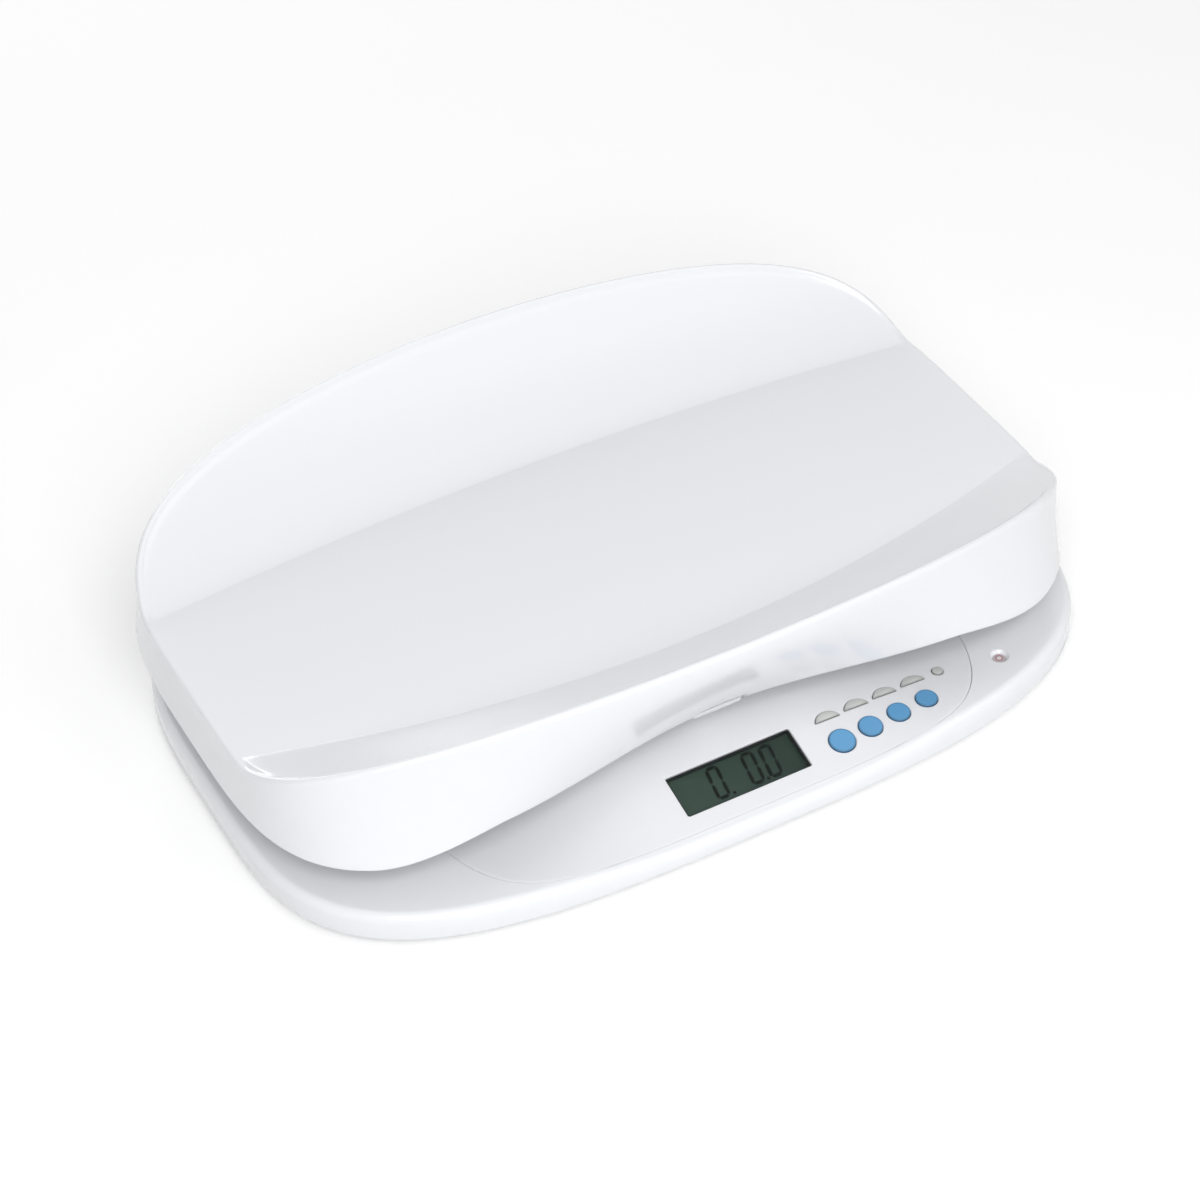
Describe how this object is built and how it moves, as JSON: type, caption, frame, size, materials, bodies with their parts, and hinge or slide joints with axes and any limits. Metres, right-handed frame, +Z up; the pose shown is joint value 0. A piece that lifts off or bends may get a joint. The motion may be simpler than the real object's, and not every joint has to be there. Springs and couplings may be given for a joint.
{
  "type": "digital baby weighing scale",
  "caption": "Baby scale: a white trough tray lifts off a low base with a sloped console, a display, round and half-moon keys, a bubble level and levelling feet.",
  "frame": {"origin": "middle of the footprint, on the surface the scale stands on", "axes": "+X to the right of someone reading the display, -Y towards them, +Z up"},
  "size_m": [0.554, 0.3758, 0.1419],
  "materials": {
    "white_shell": "glossy white moulding",
    "console_grey": "pale grey, satin",
    "lever_white": "pale grey, satin",
    "window_clear": "clear",
    "lcd_green": "dark grey green display",
    "inner_plastic": "plain moulding",
    "board_green": "solder resist",
    "black_plastic": "black",
    "vial_clear": "clear",
    "ring_red": "printed ring",
    "aluminium": "milled",
    "steel": "zinc plated",
    "frame_metal": "die cast",
    "brass": "turned",
    "rubber": "moulded rubber",
    "key_blue": "translucent blue",
    "key_grey": "grey"
  },
  "bodies": {
    "base": {"base_top_housing": "white_shell", "base_bottom_pan": "white_shell", "console_panel": "console_grey", "display_window": "window_clear", "lcd_module": "lcd_green", "lcd_holder": "black_plastic", "main_circuit_board": "board_green", "key_switch_board": "board_green", "key_switches": "black_plastic", "level_bezel": "white_shell", "level_vial": "vial_clear", "level_ring": "ring_red", "load_cell": "aluminium", "load_cell_plate": "steel", "load_cell_packer": "aluminium", "load_cell_bolts": "steel", "overload_stops": "steel", "sensor_cable": "black_plastic", "display_cable": "black_plastic", "power_cable": "black_plastic", "battery_box": "inner_plastic", "batteries": "black_plastic", "battery_contacts": "steel", "inlet_socket": "black_plastic", "housing_screws": "steel", "foot_inserts": "brass"},
    "battery_door": {"battery_door": "white_shell"},
    "platform": {"platform_frame": "frame_metal", "platform_spacer": "aluminium", "platform_bolts": "steel", "support_pads": "rubber"},
    "tray": {"tray": "white_shell", "tray_underframe": "inner_plastic", "lever_bracket": "steel", "lever_pin": "steel", "lever_spring": "steel"},
    "lever": {"release_lever": "lever_white"},
    "round_key_1": {"round_key_1": "key_blue"},
    "round_key_2": {"round_key_2": "key_blue"},
    "round_key_3": {"round_key_3": "key_blue"},
    "round_key_4": {"round_key_4": "key_blue"},
    "moon_key_1": {"moon_key_1": "key_grey"},
    "moon_key_2": {"moon_key_2": "key_grey"},
    "moon_key_3": {"moon_key_3": "key_grey"},
    "moon_key_4": {"moon_key_4": "key_grey"},
    "small_key": {"small_key": "key_grey"},
    "foot_pad_1": {"foot_pad_1": "rubber"},
    "foot_screw_1": {"foot_screw_1": "steel"},
    "foot_pad_2": {"foot_pad_2": "rubber"},
    "foot_screw_2": {"foot_screw_2": "steel"},
    "foot_pad_3": {"foot_pad_3": "rubber"},
    "foot_screw_3": {"foot_screw_3": "steel"},
    "foot_pad_4": {"foot_pad_4": "rubber"},
    "foot_screw_4": {"foot_screw_4": "steel"}
  },
  "joints": [
    {"name": "platform_sink", "type": "slide", "parent": "base", "child": "platform", "axis": [0, 0, -1], "range_m": [0, 0.0006], "stiffness_N_per_m": 300000, "springref_m": -0.0001, "deforming": ["load_cell"]},
    {"name": "tray_lift_off", "type": "slide", "parent": "platform", "child": "tray", "axis": [0, 0, 1], "range_m": [0, 0.06]},
    {"name": "lever_swing", "type": "hinge", "parent": "tray", "child": "lever", "pos_m": [0, -0.09, 0.061], "axis": [1, 0, 0], "range_deg": [0, 10], "stiffness_Nm_per_rad": 0.3, "springref_deg": -2.86},
    {"name": "battery_door_swing", "type": "hinge", "parent": "base", "child": "battery_door", "pos_m": [-0.11, 0.1225, 0.005], "axis": [1, 0, 0], "range_deg": [0, 100]},
    {"name": "round_key_1_press", "type": "slide", "parent": "base", "child": "round_key_1", "axis": [0.0032, 0.2306, -0.973], "range_m": [0, 0.001], "stiffness_N_per_m": 800, "springref_m": -0.0005},
    {"name": "round_key_2_press", "type": "slide", "parent": "base", "child": "round_key_2", "axis": [0.0005, 0.1813, -0.9834], "range_m": [0, 0.001], "stiffness_N_per_m": 800, "springref_m": -0.0005},
    {"name": "round_key_3_press", "type": "slide", "parent": "base", "child": "round_key_3", "axis": [-0.0045, 0.1175, -0.9931], "range_m": [0, 0.001], "stiffness_N_per_m": 800, "springref_m": -0.0005},
    {"name": "round_key_4_press", "type": "slide", "parent": "base", "child": "round_key_4", "axis": [-0.0079, 0.055, -0.9985], "range_m": [0, 0.001], "stiffness_N_per_m": 800, "springref_m": -0.0005},
    {"name": "moon_key_1_press", "type": "slide", "parent": "base", "child": "moon_key_1", "axis": [-0.0333, 0.2305, -0.9725], "range_m": [0, 0.001], "stiffness_N_per_m": 800, "springref_m": -0.0005},
    {"name": "moon_key_2_press", "type": "slide", "parent": "base", "child": "moon_key_2", "axis": [-0.0546, 0.181, -0.982], "range_m": [0, 0.001], "stiffness_N_per_m": 800, "springref_m": -0.0005},
    {"name": "moon_key_3_press", "type": "slide", "parent": "base", "child": "moon_key_3", "axis": [-0.0632, 0.1173, -0.9911], "range_m": [0, 0.001], "stiffness_N_per_m": 800, "springref_m": -0.0005},
    {"name": "moon_key_4_press", "type": "slide", "parent": "base", "child": "moon_key_4", "axis": [-0.0561, 0.0549, -0.9969], "range_m": [0, 0.001], "stiffness_N_per_m": 800, "springref_m": -0.0005},
    {"name": "small_key_press", "type": "slide", "parent": "base", "child": "small_key", "axis": [-0.0311, 0.0139, -0.9994], "range_m": [0, 0.001], "stiffness_N_per_m": 800, "springref_m": -0.0005},
    {"name": "foot_1_height", "type": "slide", "parent": "base", "child": "foot_pad_1", "axis": [0, 0, -1], "range_m": [0, 0.005]},
    {"name": "foot_1_turn", "type": "hinge", "parent": "foot_pad_1", "child": "foot_screw_1", "pos_m": [-0.205, -0.118, 0], "axis": [0, 0, -1], "range_deg": [0, 1440]},
    {"name": "foot_2_height", "type": "slide", "parent": "base", "child": "foot_pad_2", "axis": [0, 0, -1], "range_m": [0, 0.005]},
    {"name": "foot_2_turn", "type": "hinge", "parent": "foot_pad_2", "child": "foot_screw_2", "pos_m": [0.205, -0.118, 0], "axis": [0, 0, -1], "range_deg": [0, 1440]},
    {"name": "foot_3_height", "type": "slide", "parent": "base", "child": "foot_pad_3", "axis": [0, 0, -1], "range_m": [0, 0.005]},
    {"name": "foot_3_turn", "type": "hinge", "parent": "foot_pad_3", "child": "foot_screw_3", "pos_m": [0.205, 0.118, 0], "axis": [0, 0, -1], "range_deg": [0, 1440]},
    {"name": "foot_4_height", "type": "slide", "parent": "base", "child": "foot_pad_4", "axis": [0, 0, -1], "range_m": [0, 0.005]},
    {"name": "foot_4_turn", "type": "hinge", "parent": "foot_pad_4", "child": "foot_screw_4", "pos_m": [-0.205, 0.118, 0], "axis": [0, 0, -1], "range_deg": [0, 1440]}
  ],
  "couplings": [
    {"joint": "foot_1_turn", "follows": "foot_1_height", "rad_per_m": 5026.5},
    {"joint": "foot_2_turn", "follows": "foot_2_height", "rad_per_m": 5026.5},
    {"joint": "foot_3_turn", "follows": "foot_3_height", "rad_per_m": 5026.5},
    {"joint": "foot_4_turn", "follows": "foot_4_height", "rad_per_m": 5026.5}
  ]
}
